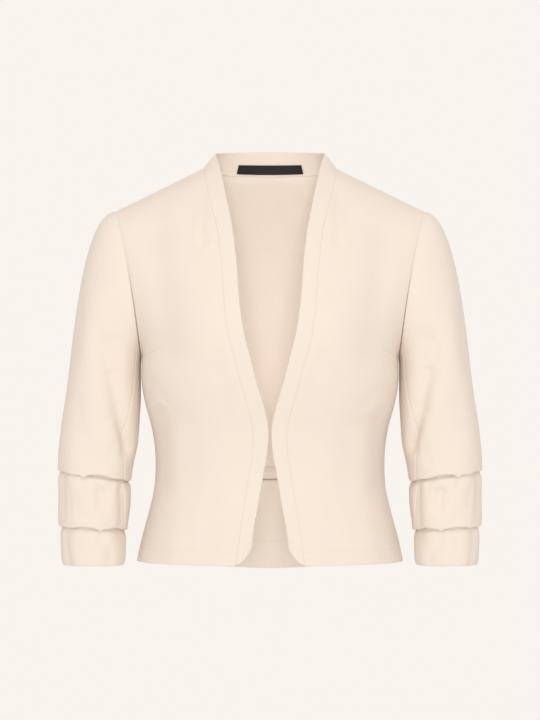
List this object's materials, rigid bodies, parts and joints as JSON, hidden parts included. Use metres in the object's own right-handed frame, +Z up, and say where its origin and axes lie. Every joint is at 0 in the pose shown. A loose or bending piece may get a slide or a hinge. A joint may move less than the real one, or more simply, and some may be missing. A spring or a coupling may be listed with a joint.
{
  "type": "short jacket",
  "caption": "Short open-front jacket with a narrow neck band and three-quarter sleeves folded in two tucks, hollow and held in its worn shape.",
  "frame": {"origin": "midway between the two points where a shoulder seam meets the neck band, where the jacket rests on the wearer", "axes": "+Z up, the front faces -Y, +X is the wearer's left"},
  "size_m": [0.5408, 0.2388, 0.5383],
  "materials": {
    "cloth": "matt pale cream woven cloth",
    "binding": "matt cream tape",
    "label": "plain black woven ribbon"
  },
  "bodies": {
    "root": {"front_left": "cloth", "front_right": "cloth", "band_left": "cloth", "band_right": "cloth", "band_back": "cloth", "back_upper": "cloth", "back_peplum": "cloth", "back_waist_binding": "binding", "label": "label", "sleeve_upper_left": "cloth", "sleeve_upper_right": "cloth", "sleeve_under_left": "cloth", "sleeve_under_right": "cloth"}
  },
  "joints": []
}
